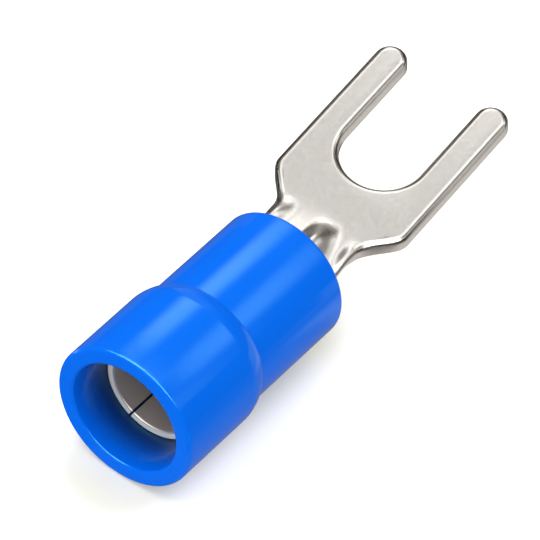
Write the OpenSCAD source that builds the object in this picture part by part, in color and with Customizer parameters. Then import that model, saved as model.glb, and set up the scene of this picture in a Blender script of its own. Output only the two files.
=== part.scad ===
// Insulated fork terminal: one stamped and rolled metal terminal in one moulded sleeve.
// Frame: origin on the barrel's axis at its wire end, +X along the barrel towards the fork,
// +Z up on the side of the fork's upper face. Units are millimetres.

/* [Sleeve] */
// Length of the sleeve, mouth to front end
sleeve_len = 9.2; // [8.6:0.1:12]
// Outside diameter of the front section, which grips the barrel
sleeve_od = 5.16; // [4.8:0.02:5.3]
// Outside diameter of the wire entry section
entry_od = 5.68; // [5.4:0.02:6.4]
// Length of the wire entry section, mouth to step
entry_len = 4.5; // [4:0.1:6]
// Length of the rounded shoulder that ends the wire entry section
shoulder_len = 0.9; // [0.6:0.1:1.6]
// Inside diameter at the mouth
mouth_id = 4.4; // [4.2:0.02:4.6]
// Radius on the outer edge of the mouth
rim_round = 0.22; // [0.1:0.02:0.3]
// Radius on the inner edge of the mouth
mouth_round = 0.1; // [0.04:0.02:0.16]
// Radius on the front edges
front_round = 0.16; // [0.04:0.02:0.2]

/* [Barrel] */
// Outside diameter of the rolled barrel
barrel_od = 3.88; // [3.6:0.02:4]
// Wall of the rolled barrel
barrel_wall = 0.28; // [0.2:0.01:0.5]
// Depth of the closed barrel behind the sleeve's front
barrel_recess = 1.5; // [0.8:0.1:2]
// Depth of the barrel's wire end inside the mouth
barrel_set = 1.62; // [1:0.01:2]
// Width of the butt seam along the barrel
seam_gap = 0.1; // [0.04:0.02:0.3]
// Angle of the seam about the barrel, from +Y towards +Z
seam_angle = -67; // [-120:1:-60]
// Radial clearance between barrel and sleeve
sleeve_fit = 0.02; // [0.01:0.01:0.05]

/* [Fork] */
// Thickness of the fork
fork_t = 0.7; // [0.5:0.05:0.9]
// Width over both prongs
fork_w = 5.7; // [5.2:0.1:6.4]
// Width of the slot between the prongs
slot_w = 3.2; // [2.6:0.1:3.6]
// Reach of the prong tips in front of the sleeve
fork_reach = 9.7; // [9:0.1:12]
// Distance from the sleeve's front to the centre of the slot's round end
slot_centre = 5.7; // [5.4:0.05:7]
// Upward angle of the fork to the barrel
fork_rise = 12; // [0:1:16]
// Height of the fork's upper face over the barrel's axis at the sleeve's front
fork_height = 0.8; // [0.4:0.02:1.1]

/* [Neck] */
// Width of the neck between the barrel and the fork
neck_w = 3.68; // [3.3:0.02:3.8]
// Distance from the sleeve's front to where the neck starts to widen
neck_reach = 1.65; // [1.3:0.05:1.9]
// Length over which the neck widens to the fork
flank_len = 1.65; // [1.3:0.05:2]
// Distance from the sleeve's front to where the neck is flat
flat_start = 2.5; // [2.35:0.05:2.8]
// Distance from the sleeve's front to where the neck has the fork's thickness
gauge_reach = 0.8; // [0.3:0.1:1.4]
// Height of the three pressed ribs over the valleys between them
rib_height = 0.34; // [0.05:0.01:0.4]
// Width of each rib
rib_w = 1.35; // [1:0.05:1.8]
// Place of the left rib across the neck
left_rib = 1.42; // [1.2:0.02:1.9]
// Place of the middle rib across the neck
middle_rib = -0.42; // [-0.6:0.02:0.2]
// Place of the right rib across the neck
right_rib = -1.78; // [-2:0.02:-1.2]
// Distance from the sleeve's front to where the ribs are highest
rib_crest = 1; // [0.6:0.05:1.3]
// Distance from the sleeve's front to where the ribs run out
rib_reach = 2.25; // [1.8:0.05:2.35]
// Arc of the barrel that runs on into the neck
neck_arc = 190; // [170:5:220]

/* [Hidden] */

$fn = 96;
eps = 0.01;                                  // overlap that makes a cut run through
arc_steps = 10;                              // points on a quarter of a rounded edge
shoulder_steps = 14;                         // points along the sleeve's shoulder
flank_steps = 18;                            // points along each flank of the fork
neck_stations = 30;                          // sections along the neck
neck_columns = 36;                           // strips across the neck
neck_inset = 0.03;                           // how far the neck's root lies inside the barrel's wall
neck_root = 0.8;                             // overlap of the neck and the barrel
flat_pace = 0.6;                             // below 1 the middle flattens early, inside the sleeve
edge_pace = 1.1;                             // above 1 the edges flatten late, and droop a little

sleeve_front = sleeve_len - barrel_set;      // X of the sleeve's front face
sleeve_back = -barrel_set;                   // X of the mouth
barrel_r = barrel_od / 2;
bore_r = barrel_r - barrel_wall;
barrel_len = sleeve_front - barrel_recess;   // length of the closed part of the barrel
seat_r = barrel_r + sleeve_fit;              // sleeve's bore around the barrel
prong_w = (fork_w - slot_w) / 2;
arc_front = -barrel_recess;                  // where the closed barrel ends, from the sleeve's front

function clamp01(t) = min(1, max(0, t));
function ease(t) = (1 - cos(180 * clamp01(t))) / 2;
function arc(c, r, from, to, n) =
    [for (i = [0:n]) let (a = from + (to - from) * i / n) [c[0] + r * cos(a), c[1] + r * sin(a)]];

// Half width of the neck and fork at a distance u in front of the sleeve
function half_width(u) = neck_w / 2 + (fork_w - neck_w) / 2 * ease((u - neck_reach) / flank_len);

// Radius of the sleeve's shoulder, an arc that leaves the entry section without a corner
shoulder_drop = (entry_od - sleeve_od) / 2;
shoulder_r = (pow(shoulder_len, 2) + pow(shoulder_drop, 2)) / (2 * shoulder_drop);
shoulder_turn = asin(shoulder_len / shoulder_r);

// Half section of the sleeve: radius, then distance from the mouth
sleeve_section = concat(
    arc([mouth_id / 2 + mouth_round, mouth_round], mouth_round, 180, 270, arc_steps),
    arc([entry_od / 2 - rim_round, rim_round], rim_round, 270, 360, arc_steps),
    arc([entry_od / 2 - shoulder_r, entry_len - shoulder_len], shoulder_r, 0, shoulder_turn, shoulder_steps),
    arc([sleeve_od / 2 - front_round, sleeve_len - front_round], front_round, 0, 90, arc_steps),
    arc([seat_r + front_round, sleeve_len - front_round], front_round, 90, 180, arc_steps),
    [[seat_r, barrel_set]]
);

// The sleeve: a wide wire entry, a rounded shoulder and a straight front section
module sleeve() {
    color("#0a6cff")
        translate([sleeve_back, 0, 0])
            rotate([0, 90, 0])
                rotate_extrude()
                    polygon(sleeve_section);
}

// The barrel: a rolled tube with a butt seam
module barrel() {
    difference() {
        rotate([0, 90, 0])
            cylinder(r = barrel_r, h = barrel_len);
        translate([-eps, 0, 0])
            rotate([0, 90, 0])
                cylinder(r = bore_r, h = barrel_len + 2 * eps);
        rotate([seam_angle, 0, 0])
            translate([-eps, 0, -seam_gap / 2])
                cube([barrel_len + 2 * eps, barrel_r + eps, seam_gap]);
    }
}

// Places its children in the fork's own frame: u forward, v across, w above the upper face
module fork_frame() {
    translate([sleeve_front, 0, fork_height])
        rotate([0, -fork_rise, 0])
            children();
}

// Outline of the flat part of the fork, without its slot
fork_body = concat(
    [for (i = [0:flank_steps])
        let (u = flat_start + (neck_reach + flank_len - flat_start) * i / flank_steps) [u, half_width(u)]],
    [[fork_reach - prong_w / 2, fork_w / 2], [fork_reach - prong_w / 2, -fork_w / 2]],
    [for (i = [flank_steps:-1:0])
        let (u = flat_start + (neck_reach + flank_len - flat_start) * i / flank_steps) [u, -half_width(u)]]
);

// The flat fork: two prongs with round tips and a slot with a round end
module fork() {
    fork_frame()
        translate([0, 0, -fork_t])
            linear_extrude(fork_t)
                difference() {
                    union() {
                        polygon(fork_body);
                        for (side = [-1, 1])
                            translate([fork_reach - prong_w / 2, side * (fork_w - prong_w) / 2])
                                circle(d = prong_w);
                    }
                    translate([slot_centre, 0])
                        circle(d = slot_w);
                    translate([slot_centre, -slot_w / 2])
                        square([fork_reach, slot_w]);
                }
}

// A point of the barrel's wall, given in the fork's frame: u forward, angle from the top, radius
function on_barrel(u, turn, r) =
    let (y = r * sin(turn), z = r * cos(turn) - fork_height)
    [u * cos(fork_rise) + z * sin(fork_rise), y, z * cos(fork_rise) - u * sin(fork_rise)];

// How flat the neck is at u and a place s across it: 0 on the barrel, 1 on the fork
function flatness(u, s) =
    let (along = clamp01((u - arc_front) / (flat_start - arc_front)))
    ease(pow(along, flat_pace + (edge_pace - flat_pace) * s * s));

// How far the ribs lift the neck: they rise out of the barrel and run out before the flat fork
function rib(u, v) =
    let (rise = ease((u - arc_front) / (rib_crest - arc_front)),
         fall = 1 - ease((u - rib_crest) / (rib_reach - rib_crest)),
         crests = [for (place = [left_rib, middle_rib, right_rib]) 1 - ease(2 * abs(v - place) / rib_w)])
    rib_height * rise * fall * (crests[0] + crests[1] + crests[2]);

// Thickness of the neck at u, from just inside the barrel's wall to the fork's thickness
neck_root_t = barrel_wall - 2 * neck_inset;
function gauge(u) = neck_root_t + (fork_t - neck_root_t) * ease((u - arc_front) / (gauge_reach - arc_front));

// A point of the neck at a distance u and a place s across it, on the upper (0) or lower (1) side
function neck_point(u, s, side) =
    let (f = flatness(u, s),
         v = s * half_width(u),
         depth = side * gauge(u),
         on_tube = on_barrel(u, s * neck_arc / 2, barrel_r - neck_inset - depth),
         on_fork = [u, v, -depth])
    (1 - f) * on_tube + f * on_fork + [0, 0, rib(u, v)];

// The neck: the barrel opens out, flattens and thickens into the fork
module neck() {
    half_step = (flat_start - arc_front) / (2 * neck_stations - 1);
    stations = concat([arc_front - neck_root],
                      [for (i = [0:neck_stations]) arc_front + (2 * i - 1) * half_step]);
    last = len(stations) - 1;
    across = [for (j = [0:neck_columns]) 2 * j / neck_columns - 1];
    row = 2 * (neck_columns + 1);
    points = [for (u = stations)
        each concat([for (s = across) neck_point(u, s, 0)],
                    [for (j = [neck_columns:-1:0]) neck_point(u, across[j], 1)])];
    walls = [for (i = [0:last - 1], j = [0:row - 1])
        let (a = i * row + j, b = i * row + (j + 1) % row)
        each [[a, b, b + row], [a, b + row, a + row]]];
    function cap(base) = [for (j = [0:neck_columns - 1])
        each [[base + j, base + row - 1 - j, base + j + 1],
              [base + j + 1, base + row - 1 - j, base + row - 2 - j]]];
    ends = concat([for (t = cap(0)) [t[0], t[1], t[2]]],
                  [for (t = cap(last * row)) [t[0], t[2], t[1]]]);
    fork_frame()
        polyhedron(points, concat(walls, ends));
}

// The terminal: barrel, neck and fork in one piece of metal
module terminal() {
    color("#d6d2cb")
        union() {
            barrel();
            neck();
            fork();
        }
}

terminal();
sleeve();
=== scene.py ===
"""Looks of the fork terminal: a glossy moulded sleeve over a stamped, rolled and tinned terminal."""

import math

import bmesh
import bpy
from mathutils import Matrix, Vector


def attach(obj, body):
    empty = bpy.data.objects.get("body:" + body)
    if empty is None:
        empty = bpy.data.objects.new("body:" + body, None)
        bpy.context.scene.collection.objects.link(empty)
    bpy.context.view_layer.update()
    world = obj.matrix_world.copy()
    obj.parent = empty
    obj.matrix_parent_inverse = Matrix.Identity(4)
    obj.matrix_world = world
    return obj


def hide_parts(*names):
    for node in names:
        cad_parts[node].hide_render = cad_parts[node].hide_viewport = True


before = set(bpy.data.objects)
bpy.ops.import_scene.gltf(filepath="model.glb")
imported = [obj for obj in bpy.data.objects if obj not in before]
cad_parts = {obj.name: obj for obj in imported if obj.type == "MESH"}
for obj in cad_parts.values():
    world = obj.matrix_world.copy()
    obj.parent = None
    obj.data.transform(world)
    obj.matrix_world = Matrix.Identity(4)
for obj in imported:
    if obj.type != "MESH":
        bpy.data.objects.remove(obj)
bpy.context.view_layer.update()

# Sizes in millimetres and angles in radians, as in the part's source
SLEEVE_LEN = 9.2
SLEEVE_R = 2.58
ENTRY_R = 2.84
ENTRY_LEN = 4.5
SHOULDER_LEN = 0.9
MOUTH_R = 2.2
MOUTH_ROUND = 0.1
FRONT_ROUND = 0.16
BARREL_R = 1.94
BARREL_WALL = 0.28
BARREL_SET = 1.62
BARREL_RECESS = 1.5
SEAM_GAP = 0.1
SEAM_ANGLE = math.radians(-67)
SLEEVE_FIT = 0.02
FORK_T = 0.7
FORK_W = 5.7
SLOT_W = 3.2
FORK_REACH = 9.7
SLOT_CENTRE = 5.7
FORK_RISE = math.radians(12)
FORK_HEIGHT = 0.8
NECK_W = 3.68
NECK_REACH = 1.65
FLANK_LEN = 1.65
FLAT_START = 2.5
FLAT_PACE = 0.6
EDGE_PACE = 1.1
GAUGE_REACH = 0.8
RIB_HEIGHT = 0.34
RIB_W = 1.35
RIB_PLACES = (1.42, -0.42, -1.78)
RIB_CREST = 1.0
RIB_REACH = 2.25
NECK_ARC = math.radians(190)
NECK_INSET = 0.03
NECK_ROOT = 0.8

SLEEVE_FRONT = SLEEVE_LEN - BARREL_SET
BARREL_LEN = SLEEVE_FRONT - BARREL_RECESS
BORE_R = BARREL_R - BARREL_WALL
PRONG_W = (FORK_W - SLOT_W) / 2

# Finish of the edges, in millimetres
RIM_ROUND = 0.16
FORK_EDGE = 0.24
BACK_EDGE = 0.12
CROWN_W = 0.05
CROWN = 0.003
LIP_EDGE = 0.05
LIP_FLARE = 0.07
SEAM_EDGE = 0.05

MM = 0.001


def ease(t):
    """A smooth step from 0 to 1."""
    return (1 - math.cos(math.pi * min(1.0, max(0.0, t)))) / 2


# Shader nodes


class Value:
    """A node's output, with operators that add Math nodes to its tree."""

    def __init__(self, shader, socket):
        self.shader = shader
        self.socket = socket

    def math(self, operation, *others):
        """A Math node that takes this value first."""
        return self.shader.math(operation, self, *others)

    def __add__(self, other):
        return self.math("ADD", other)

    def __radd__(self, other):
        return self.shader.math("ADD", other, self)

    def __sub__(self, other):
        return self.math("SUBTRACT", other)

    def __rsub__(self, other):
        return self.shader.math("SUBTRACT", other, self)

    def __mul__(self, other):
        return self.math("MULTIPLY", other)

    def __rmul__(self, other):
        return self.shader.math("MULTIPLY", other, self)

    def __truediv__(self, other):
        return self.math("DIVIDE", other)

    def __rtruediv__(self, other):
        return self.shader.math("DIVIDE", other, self)


class Shader:
    """Adds nodes to one node tree."""

    def __init__(self, owner):
        owner.use_nodes = True
        self.tree = owner.node_tree
        self.tree.nodes.clear()

    def add(self, kind, settings=None, inputs=None, output=0):
        """Adds a node, sets it up, fills or links its sockets and returns one of its outputs."""
        node = self.tree.nodes.new(kind)
        for name, value in (settings or {}).items():
            setattr(node, name, value)
        for name, value in (inputs or {}).items():
            if isinstance(value, Value):
                self.tree.links.new(value.socket, node.inputs[name])
            else:
                node.inputs[name].default_value = value
        return Value(self, node.outputs[output]) if node.outputs else None

    def math(self, operation, *values):
        """A Math node on values or numbers."""
        return self.add("ShaderNodeMath", {"operation": operation}, dict(enumerate(values)))

    def noise(self, place, scale, detail=2.0, roughness=0.5):
        """Noise in the range 0 to 1."""
        return self.add(
            "ShaderNodeTexNoise",
            {},
            {"Vector": place, "Scale": scale, "Detail": detail, "Roughness": roughness},
        )

    def seen(self):
        """1 on rays that show a thing to the camera, straight, in gloss or through glass."""
        names = ("Is Camera Ray", "Is Glossy Ray", "Is Transmission Ray")
        camera, gloss, glass = [self.add("ShaderNodeLightPath", {}, {}, name) for name in names]
        return camera.math("MAXIMUM", gloss.math("MAXIMUM", glass))

    def step(self, value, low, high):
        """A smooth step from 0 at one value to 1 at another."""
        return self.add(
            "ShaderNodeMapRange",
            {"interpolation_type": "SMOOTHSTEP"},
            {"Value": value, "From Min": low, "From Max": high},
        )

    def axes(self, vector):
        """The three parts of a vector."""
        return [self.add("ShaderNodeSeparateXYZ", {}, {0: vector}, k) for k in range(3)]

    def mix(self, factor, first, second):
        """A colour between two colours."""
        return self.add(
            "ShaderNodeMix",
            {"data_type": "RGBA"},
            {"Factor": factor, 6: first, 7: second},
            2,
        )


def blue_vinyl():
    """Glossy blue moulded vinyl with a faint orange peel, and painted shade that turns it deep navy
    down in the mouth.
    """
    material = bpy.data.materials.new("blue_vinyl")
    shader = Shader(material)
    place = shader.add("ShaderNodeTexCoord", output=3)
    x, y, z = [part / MM for part in shader.axes(place)]
    cloud = shader.noise(place, 260.0, 3.0)
    peel = shader.noise(place, 1500.0, 2.0)
    radius = (y * y + z * z).math("SQRT")
    # Painted shade: the vinyl darkens to deep navy down in the mouth, where little light gets in; the
    # same mask also makes it rougher there.
    inside_shade = shader.step(radius, 2.4, 2.2) * shader.step(x, -1.7, 0.1) * shader.step(x, 7.0, 6.0)
    colour = shader.mix(cloud, (0.0004, 0.152, 0.91, 1), (0.0006, 0.170, 0.97, 1))
    colour = shader.mix(inside_shade, colour, (0.0002, 0.007, 0.085, 1))
    bump = shader.add(
        "ShaderNodeBump", {}, {"Strength": 0.03, "Distance": 0.0001, "Height": peel}
    )
    surface = shader.add(
        "ShaderNodeBsdfPrincipled",
        {},
        {
            "Base Color": colour,
            "Roughness": 0.10 + 0.05 * cloud + 0.25 * inside_shade,
            "Normal": bump,
            "IOR": 1.5,
            "Specular IOR Level": 0.8,
            "Specular Tint": (0.28, 1, 1, 1),
        },
    )
    shader.add("ShaderNodeOutputMaterial", {}, {"Surface": surface})
    return material


def tin_plate():
    """Warm grey tin plate: satin with a fine grain, duller in the barrel and darkened there by painted
    shade, with a painted highlight paling its lip.
    """
    material = bpy.data.materials.new("tin_plate")
    shader = Shader(material)
    place = shader.add("ShaderNodeTexCoord", output=3)
    x, y, z = [part / MM for part in shader.axes(place)]
    radius = (y * y + z * z).math("SQRT")
    # Painted shade: the barrel's inner wall gets a darker, warmer colour, and is also duller and less
    # metallic.
    shaded_bore = shader.step(radius, 1.74, 1.68) * shader.step(x, 6.2, 5.8)
    stain = shader.noise(place, 420.0, 4.0)
    grain = shader.noise(place, 6500.0, 3.0, 0.6)
    # Painted highlight: the barrel's lip gets a pale colour and is nearly non-metallic, so it shows as
    # a bright ring.
    lip = shader.step(x, 0.35, 0.2) * (1 - shaded_bore)
    neck = shader.step(x, 10.4, 8.6) * (1 - shaded_bore)
    worn = 0.2 * stain + 0.8 * shader.step(grain, 0.2, 0.8)
    colour = shader.mix(worn, (0.80, 0.78, 0.75, 1), (0.89, 0.87, 0.84, 1))
    colour = shader.mix(shaded_bore, colour, (0.70, 0.635, 0.56, 1))
    colour = shader.mix(lip, colour, (1, 0.95, 0.83, 1))
    bump = shader.add(
        "ShaderNodeBump", {}, {"Strength": 0.02, "Distance": 0.00003, "Height": grain}
    )
    surface = shader.add(
        "ShaderNodeBsdfPrincipled",
        {},
        {
            "Base Color": colour,
            "Metallic": 1 - 0.25 * shaded_bore - 0.85 * lip,
            "Roughness": 0.20 + 0.03 * grain + 0.2 * shaded_bore + 0.1 * lip + 0.08 * neck,
            "Normal": bump,
        },
    )
    shader.add("ShaderNodeOutputMaterial", {}, {"Surface": surface})
    return material


# Pieces


def add_piece(name, bm, material, node):
    """Makes a piece of a mesh in millimetres, and lets it stand for a CAD node."""
    bmesh.ops.remove_doubles(bm, verts=bm.verts[:], dist=0.0004)
    bmesh.ops.recalc_face_normals(bm, faces=bm.faces[:])
    bmesh.ops.scale(bm, vec=(MM, MM, MM), verts=bm.verts[:])
    mesh = bpy.data.meshes.new(name)
    bm.to_mesh(mesh)
    bm.free()
    mesh.shade_smooth()
    mesh.set_sharp_from_angle(angle=math.radians(32))
    mesh.materials.append(material)
    piece = bpy.data.objects.new(name, mesh)
    bpy.context.scene.collection.objects.link(piece)
    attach(piece, "root")
    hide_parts(node)


def closed_line(bm, points):
    """Vertices joined in a ring by edges."""
    verts = [bm.verts.new(p) for p in points]
    for a, b in zip(verts, verts[1:] + verts[:1]):
        bm.edges.new((a, b))
    return verts


def round_corner(bm, vert, reach, segments):
    """Rounds one corner of an outline, from this far before it to this far after it."""
    bmesh.ops.bevel(
        bm,
        geom=[vert],
        offset=reach,
        offset_type="OFFSET",
        segments=segments,
        profile=0.5,
        affect="VERTICES",
        clamp_overlap=False,
        material=-1,
    )


def round_edges(bm, edges, radius, segments):
    """Rounds edges of a solid."""
    bmesh.ops.bevel(
        bm,
        geom=edges,
        offset=radius,
        offset_type="OFFSET",
        segments=segments,
        profile=0.5,
        affect="EDGES",
        clamp_overlap=True,
        material=-1,
    )


def make_sleeve(material):
    """The sleeve: its half section with rounded corners, turned about the barrel's axis."""
    drop = ENTRY_R - SLEEVE_R
    shoulder_r = (SHOULDER_LEN**2 + drop**2) / (2 * drop)
    shoulder_reach = shoulder_r * math.tan(math.asin(SHOULDER_LEN / shoulder_r) / 2)
    shoulder_x = ENTRY_LEN - SHOULDER_LEN + shoulder_reach
    seat_r = BARREL_R + SLEEVE_FIT
    bm = bmesh.new()
    mouth, rim, shoulder, _, nose, lip, _ = closed_line(
        bm,
        [
            (x - BARREL_SET, 0, r)
            for x, r in (
                (0, MOUTH_R),
                (0, ENTRY_R),
                (shoulder_x, ENTRY_R),
                (ENTRY_LEN, SLEEVE_R),
                (SLEEVE_LEN, SLEEVE_R),
                (SLEEVE_LEN, seat_r),
                (BARREL_SET, seat_r),
            )
        ],
    )
    round_corner(bm, mouth, MOUTH_ROUND, 8)
    round_corner(bm, rim, RIM_ROUND, 12)
    round_corner(bm, shoulder, shoulder_reach * 0.97, 20)
    round_corner(bm, nose, FRONT_ROUND, 8)
    round_corner(bm, lip, FRONT_ROUND, 8)
    bmesh.ops.spin(
        bm,
        geom=bm.verts[:] + bm.edges[:],
        cent=(0, 0, 0),
        axis=(1, 0, 0),
        angle=math.tau,
        steps=192,
        use_merge=True,
    )
    add_piece("sleeve_vinyl", bm, material, "sleeve")


def half_width(u):
    """Half width of the neck and fork, this far in front of the sleeve."""
    return NECK_W / 2 + (FORK_W - NECK_W) / 2 * ease((u - NECK_REACH) / FLANK_LEN)


def rib(u, v):
    """How far the pressed ribs lift the neck at a point of the blank."""
    rise = ease((u + BARREL_RECESS) / (RIB_CREST + BARREL_RECESS))
    fall = 1 - ease((u - RIB_CREST) / (RIB_REACH - RIB_CREST))
    crests = sum(1 - ease(abs(v - place) / RIB_W * 2) for place in RIB_PLACES)
    return RIB_HEIGHT * rise * fall * crests


def formed(u, v, w):
    """Where a point of the flat blank comes to lie once the neck is pressed and the fork bent up."""
    along = min(1.0, max(0.0, (u + BARREL_RECESS) / (FLAT_START + BARREL_RECESS)))
    across = v / half_width(u)
    flat = ease(along ** (FLAT_PACE + (EDGE_PACE - FLAT_PACE) * across**2))
    thin = BARREL_WALL - 2 * NECK_INSET
    gauge = thin + (FORK_T - thin) * ease((u + BARREL_RECESS) / (GAUGE_REACH + BARREL_RECESS))
    w *= gauge / FORK_T
    radius = BARREL_R - NECK_INSET + w
    turn = across * NECK_ARC / 2
    on_tube = Vector((SLEEVE_FRONT + u, radius * math.sin(turn), radius * math.cos(turn)))
    cos, sin = math.cos(FORK_RISE), math.sin(FORK_RISE)
    on_fork = Vector(
        (SLEEVE_FRONT + u * cos - w * sin, v, FORK_HEIGHT + u * sin + w * cos)
    )
    lift = Vector((-sin, 0, cos)) * rib(u, v)
    return on_tube.lerp(on_fork, flat) + lift


def make_blank(bm):
    """The neck and fork as a flat blank with rounded edges, then pressed to shape."""
    first, join = -BARREL_RECESS - NECK_ROOT, NECK_REACH + FLANK_LEN + 0.1
    rows, columns, margin = 72, 46, FORK_EDGE + CROWN_W + 0.05
    bmesh.ops.create_grid(bm, x_segments=rows, y_segments=columns, size=1)
    for vert in bm.verts:
        u = first + (join - first) * (vert.co.x + 1) / 2
        share = vert.co.y
        inner = (half_width(u) - margin) * share / (1 - 2 / columns)
        edge = math.copysign(half_width(u), share)
        vert.co = (u, edge if abs(share) > 1 - 1 / columns else inner, 0)
    ends = sorted((v for v in bm.verts if abs(v.co.x - join) < 1e-5), key=lambda v: v.co.y)
    corners = [
        bm.verts.new((x, y, 0))
        for x, y in (
            (FORK_REACH, FORK_W / 2),
            (FORK_REACH, SLOT_W / 2),
            (SLOT_CENTRE - SLOT_W / 2, SLOT_W / 2),
            (SLOT_CENTRE - SLOT_W / 2, -SLOT_W / 2),
            (FORK_REACH, -SLOT_W / 2),
            (FORK_REACH, -FORK_W / 2),
        )
    ]
    line = [ends[-1], *corners, ends[0]]
    for a, b in zip(line, line[1:]):
        bm.edges.new((a, b))
    for corner in (corners[0], corners[1], corners[4], corners[5]):
        round_corner(bm, corner, PRONG_W / 2 * 0.999, 14)
    for corner in (corners[2], corners[3]):
        round_corner(bm, corner, SLOT_W / 2 * 0.999, 28)
    bmesh.ops.remove_doubles(bm, verts=bm.verts[:], dist=0.004)
    outline = [e for e in bm.edges if e.is_wire]
    end_edges = [e for e in bm.edges if all(abs(v.co.x - join) < 1e-5 for v in e.verts)]
    bmesh.ops.edgeloop_fill(bm, edges=outline + end_edges)
    bmesh.ops.recalc_face_normals(bm, faces=bm.faces[:])
    lower = bmesh.ops.extrude_face_region(bm, geom=bm.faces[:], use_keep_orig=True)
    moved = [g for g in lower["geom"] if isinstance(g, bmesh.types.BMVert)]
    bmesh.ops.translate(bm, vec=(0, 0, -FORK_T), verts=moved)
    bmesh.ops.recalc_face_normals(bm, faces=bm.faces[:])
    for level, radius in ((0, FORK_EDGE), (-FORK_T, BACK_EDGE)):
        rims = [
            e
            for e in bm.edges
            if all(abs(v.co.z - level) < 1e-5 for v in e.verts)
            and max(v.co.x for v in e.verts) > first + 0.01
            and len(e.link_faces) == 2
            and e.calc_face_angle() > 1
        ]
        round_edges(bm, rims, radius, 6)
        flat = [f for f in bm.faces if all(abs(v.co.z - level) < 1e-5 for v in f.verts)]
        bmesh.ops.inset_region(
            bm, faces=flat, thickness=CROWN_W, depth=CROWN, use_boundary=True, use_even_offset=True
        )
    for vert in bm.verts:
        vert.co = formed(*vert.co)


def make_barrel(bm):
    """The rolled barrel: a strip of wall turned from one side of the seam to the other."""
    half_gap = math.asin(SEAM_GAP / 2 / BARREL_R)
    spun = bmesh.new()
    corners = [(0, BORE_R), (0, BARREL_R), (BARREL_LEN, BARREL_R), (BARREL_LEN, BORE_R)]
    verts = closed_line(spun, [(x, r, 0) for x, r in corners])
    round_corner(spun, verts[0], LIP_FLARE, 3)
    round_corner(spun, verts[1], LIP_EDGE, 5)
    bmesh.ops.edgeloop_fill(spun, edges=spun.edges[:])
    start = Matrix.Rotation(SEAM_ANGLE + half_gap, 3, "X")
    bmesh.ops.rotate(spun, cent=(0, 0, 0), matrix=start, verts=spun.verts[:])
    bmesh.ops.spin(
        spun,
        geom=spun.verts[:] + spun.edges[:] + spun.faces[:],
        cent=(0, 0, 0),
        axis=(1, 0, 0),
        angle=math.tau - 2 * half_gap,
        steps=160,
    )
    bmesh.ops.recalc_face_normals(spun, faces=spun.faces[:])
    seam_edges = [
        e
        for e in spun.edges
        if e.calc_length() > BARREL_LEN / 2
        and e.calc_face_angle(0) > 1
        and all(abs(v.co.yz.length - BORE_R) < 0.001 for v in e.verts)
    ]
    round_edges(spun, seam_edges, SEAM_EDGE, 3)
    mesh = bpy.data.meshes.new("barrel_strip")
    spun.to_mesh(mesh)
    spun.free()
    bm.from_mesh(mesh)
    bpy.data.meshes.remove(mesh)


def make_terminal(material):
    """The terminal: barrel, neck and fork in one piece of metal."""
    bm = bmesh.new()
    make_blank(bm)
    make_barrel(bm)
    add_piece("terminal_metal", bm, material, "terminal")


make_sleeve(blue_vinyl())
make_terminal(tin_plate())


# Stage

# Sizes and places in metres
FLOOR_Z = -ENTRY_R * MM
CENTRE = Vector((0.008, 0, 0))
STUDIO_R = 0.6
WALL_R = 0.02
WALL_HEIGHT = 0.012
WALL_REACH = 0.0105
WALL_LIFT = 0.0002
MAT_LIFT = 0.0001

# Long lamps that make the streaks on the sleeve: angle about its axis in degrees, and strength
TUBES = ((55, 2.3), (121.7, 1.55))
TUBE_WIDTH = 0.19

# The photograph's viewpoint
VIEW_RIGHT = (0.59263, -0.79614, 0.12225)
VIEW_AHEAD = (0.60089, 0.33592, -0.72532)
VIEW_PLACE = (-0.102794, -0.061144, 0.132973)
FOCAL_PIXELS = 5242.4
PICTURE_PIXELS = 540


def white_floor():
    """A white floor that takes the shadow, lifted to plain white where it is seen off the sleeve."""
    material = bpy.data.materials.new("white_floor")
    shader = Shader(material)
    seen = shader.seen()
    x, y, _ = [part / MM for part in shader.axes(shader.add("ShaderNodeTexCoord", output=3))]
    off = x - x.math("MAXIMUM", -BARREL_SET).math("MINIMUM", SLEEVE_FRONT)
    away = (off * off + y * y).math("SQRT")
    # Painted light: the glow grows away from the sleeve, so the shadow shows only close to it, and
    # close to it the glow is warm, to cancel the blue light bounced off the sleeve.
    lift = shader.mix(
        shader.step(away, 1.4, 2.9), (0.25, 0.23, 0.10, 1), (0.57, 0.56, 0.52, 1)
    )
    lift = shader.mix(seen, (0, 0, 0, 1), lift)
    diffuse = shader.add("ShaderNodeBsdfDiffuse", {}, {"Color": (0.8, 0.8, 0.8, 1)})
    glow = shader.add("ShaderNodeEmission", {}, {"Color": lift})
    surface = shader.add("ShaderNodeAddShader", {}, {0: diffuse, 1: glow})
    shader.add("ShaderNodeOutputMaterial", {}, {"Surface": surface})
    return material


def add_stage(name, bm, material):
    """Makes a stage object, which isn't part of the terminal."""
    mesh = bpy.data.meshes.new(name)
    bm.to_mesh(mesh)
    bm.free()
    mesh.materials.append(material)
    stage = bpy.data.objects.new(name, mesh)
    bpy.context.scene.collection.objects.link(stage)
    return stage


def make_floor():
    """The floor that the sleeve lies on."""
    bm = bmesh.new()
    bmesh.ops.create_grid(bm, x_segments=1, y_segments=1, size=3.0)
    bmesh.ops.translate(bm, vec=(0, 0, FLOOR_Z), verts=bm.verts[:])
    add_stage("floor", bm, white_floor())


def glowing(shader, material, colour):
    """Ends a stage material that shows its own colour and lights nothing by itself."""
    surface = shader.add("ShaderNodeEmission", {}, {"Color": colour})
    shader.add("ShaderNodeOutputMaterial", {}, {"Surface": surface})
    material.cycles.emission_sampling = "NONE"
    return material


def plain_cloth(name, colour):
    """A cloth that shows one tone in gloss."""
    material = bpy.data.materials.new(name)
    return glowing(Shader(material), material, (*colour, 1))


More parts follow.
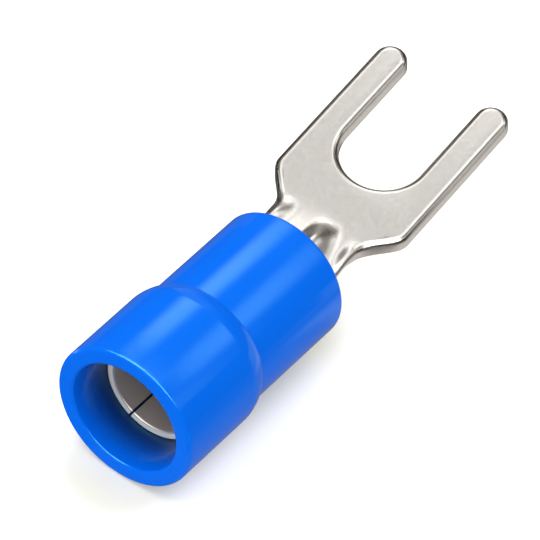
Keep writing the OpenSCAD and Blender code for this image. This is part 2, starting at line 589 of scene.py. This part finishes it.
def graded_cloth():
    """The cloth right of the part: dim beside the sleeve, pale beside the fork, dark past the tips."""
    material = bpy.data.materials.new("graded_cloth")
    shader = Shader(material)
    x, y, _ = [part / MM for part in shader.axes(shader.add("ShaderNodeTexCoord", output=3))]
    near = shader.step(y, -11.5, -6.5)
    beside_fork = shader.step(x, 12.0, 22.0)
    beside_neck = shader.step(x, 8.7, 11.2) * near
    beyond = shader.step(x, 20.5, 24.5) * shader.step(y, -6.5, -3.5)
    pale = beside_fork.math("MAXIMUM", beside_neck)
    tone = 0.11 + 0.13 * near + pale * (0.31 + 0.06 * near)
    colour = shader.mix(tone * (1 - 0.9 * beyond), (0, 0, 0, 1), (1, 0.95, 0.90, 1))
    return glowing(shader, material, colour)


def studio_walls():
    """The studio as it shows in gloss: dark cloth, two long lamps, a panel above and a hoop behind."""
    material = bpy.data.materials.new("studio_walls")
    shader = Shader(material)
    place = shader.add("ShaderNodeTexCoord", output=3)
    x, y, z = [part / STUDIO_R for part in shader.axes(place)]

    def past(turn):
        """How far a direction lies past this angle about X, measured from +Y over the top."""
        angle = math.radians(turn)
        return z * math.cos(angle) - y * math.sin(angle)

    def tube(turn):
        """A long lamp at this angle, only where the sleeve's straight sections reflect it."""
        glow = shader.step(past(turn).math("ABSOLUTE"), TUBE_WIDTH * 1.7, TUBE_WIDTH * 0.3)
        along = shader.step(x, 0.53, 0.56) * shader.step(x, 0.74, 0.62)
        return glow * shader.step(z, 0.0, 0.3) * along

    aside = shader.step(x, 0.53, 0.47)
    panel = 0.44 + 0.7 * shader.step(x, 0.12, -0.12) + 0.7 * shader.step(x, 0.34, 0.42)
    panel = panel + 0.6 * shader.step(past(63), 0.03, -0.03)
    panel = panel + 0.6 * shader.step(past(83), -0.03, 0.06)
    edges = shader.step(past(50), -0.015, 0.015) * shader.step(past(114), 0.06, -0.06)
    above = panel * edges * aside * shader.step(x, -0.5, 0.0)
    behind = shader.step(x, -0.1, -0.45) * shader.step(z, -0.15, 0.1)
    hoop = shader.step((x + 0.5).math("ABSOLUTE"), 0.3, 0.15) * shader.step(z, 0.1, 0.3)
    ahead = shader.step(x, 0.38, 0.52) * shader.step(z, 0.4, 0.7)
    far_ahead = shader.step(x, 0.66, 0.76) * shader.step(x, 0.93, 0.83) * shader.step(y, 0.0, 0.25)
    low_right = shader.step(y, -0.60, -0.70) * shader.step(z, 0.72, 0.62) * shader.step(x, 0.62, 0.54)
    light = 0.03 + 0.1 * aside + 0.45 * low_right + above + 1.4 * behind + 5.0 * hoop
    light = light + 0.1 * ahead + 0.25 * far_ahead
    for turn, strength in TUBES:
        light = light + strength * tube(turn)
    tone = shader.mix(shader.step(light, 0.1, 0.6), (1, 0.88, 0.74, 1), (1, 0.985, 0.96, 1))
    colour = shader.add("ShaderNodeVectorMath", {"operation": "SCALE"}, {0: tone, "Scale": light})
    return glowing(shader, material, colour)


def only_in_gloss(stage):
    """Lets a stage object show in gloss, and neither to the camera nor as a shadow."""
    stage.visible_camera = False
    stage.visible_diffuse = False
    stage.visible_transmission = False
    stage.visible_volume_scatter = False
    stage.visible_shadow = False


def add_mat(name, along, across, material):
    """A mat on the floor that shows in gloss alone, between these ends in millimetres."""
    (back, front), (right, left) = along, across
    bm = bmesh.new()
    bmesh.ops.create_grid(bm, x_segments=1, y_segments=1, size=0.5)
    bmesh.ops.scale(bm, vec=((front - back) * MM, (left - right) * MM, 1), verts=bm.verts[:])
    centre = ((front + back) / 2 * MM, (left + right) / 2 * MM, FLOOR_Z + MAT_LIFT)
    bmesh.ops.translate(bm, vec=centre, verts=bm.verts[:])
    only_in_gloss(add_stage(name, bm, material))


def add_dark_wall(material):
    """A low round wall about the part, open in front of the fork, that shows in gloss alone."""
    bm = bmesh.new()
    bmesh.ops.create_cone(
        bm, cap_ends=False, segments=64, radius1=WALL_R, radius2=WALL_R, depth=WALL_HEIGHT
    )
    opening = [f for f in bm.faces if f.calc_center_median().x > WALL_REACH]
    bmesh.ops.delete(bm, geom=opening, context="FACES")
    middle = FLOOR_Z + WALL_LIFT + WALL_HEIGHT / 2
    bmesh.ops.translate(bm, vec=(*CENTRE.xy, middle), verts=bm.verts[:])
    only_in_gloss(add_stage("dark_wall", bm, material))


def make_studio():
    """What shows in gloss: the studio's walls, a low dark wall and the mats around the part."""
    bm = bmesh.new()
    bmesh.ops.create_uvsphere(bm, u_segments=96, v_segments=64, radius=STUDIO_R)
    walls = add_stage("studio_walls", bm, studio_walls())
    walls.data.shade_smooth()
    only_in_gloss(walls)
    dark_cloth = plain_cloth("dark_cloth", (0.03, 0.028, 0.025))
    dim_cloth = plain_cloth("dim_cloth", (0.10, 0.10, 0.10))
    add_dark_wall(dark_cloth)
    add_mat("mouth_mat", (-14.0, 2.3), (-2.1, 12.1), dark_cloth)
    add_mat("corner_mat", (-14.0, -4.5), (-11.9, -2.1), dark_cloth)
    add_mat("left_mat", (2.3, 300.0), (1.2, 303.0), dim_cloth)
    add_mat("right_mat", (-4.5, 300.0), (-300.0, 1.2), graded_cloth())


def add_softbox(name, direction, distance, width, height, watts):
    """A soft rectangular lamp that faces the part."""
    lamp = bpy.data.lights.new(name, "AREA")
    lamp.shape = "RECTANGLE"
    lamp.size = width
    lamp.size_y = height
    lamp.energy = watts
    box = bpy.data.objects.new(name, lamp)
    away = Vector(direction).normalized()
    box.location = CENTRE + away * distance
    box.rotation_mode = "QUATERNION"
    box.rotation_quaternion = away.to_track_quat("Z", "Y")
    box.visible_camera = False
    bpy.context.scene.collection.objects.link(box)


def make_world():
    """White where it is seen, and elsewhere a soft fill, stronger ahead, on the left and behind."""
    world = bpy.data.worlds.new("studio")
    bpy.context.scene.world = world
    world.cycles.sampling_method = "NONE"
    shader = Shader(world)
    x, y, z = shader.axes(shader.add("ShaderNodeTexCoord"))
    seen = shader.seen()
    fill = 0.66 + 0.26 * shader.step(x, -0.9, 0.6) * shader.step(z, -0.1, 0.6)
    fill = fill + 0.26 * shader.step(y, 0.1, 0.8) * shader.step(z, -0.2, 0.3)
    fill = fill + 0.42 * shader.step(x, -0.3, -0.85)
    light = seen + (1 - seen) * fill
    surface = shader.add("ShaderNodeBackground", {}, {"Color": light})
    shader.add("ShaderNodeOutputWorld", {}, {"Surface": surface})


def add_camera():
    """The photograph's viewpoint, with a long lens."""
    right = Vector(VIEW_RIGHT).normalized()
    ahead = Vector(VIEW_AHEAD).normalized()
    up = right.cross(ahead).normalized()
    right = ahead.cross(up)
    lens = bpy.data.cameras.new("camera")
    lens.sensor_width = 36
    lens.lens = FOCAL_PIXELS / PICTURE_PIXELS * lens.sensor_width
    lens.clip_start, lens.clip_end = 0.005, 20
    camera = bpy.data.objects.new("camera", lens)
    turn = Matrix((right, up, -ahead)).transposed()
    camera.matrix_world = Matrix.Translation(VIEW_PLACE) @ turn.to_4x4()
    bpy.context.scene.collection.objects.link(camera)
    bpy.context.scene.camera = camera


make_floor()
make_studio()
make_world()
add_softbox("key", direction=(-0.35, 0.3, 0.89), distance=0.35, width=0.18, height=0.18, watts=0.31)
add_camera()
bpy.context.scene.view_settings.view_transform = "Standard"
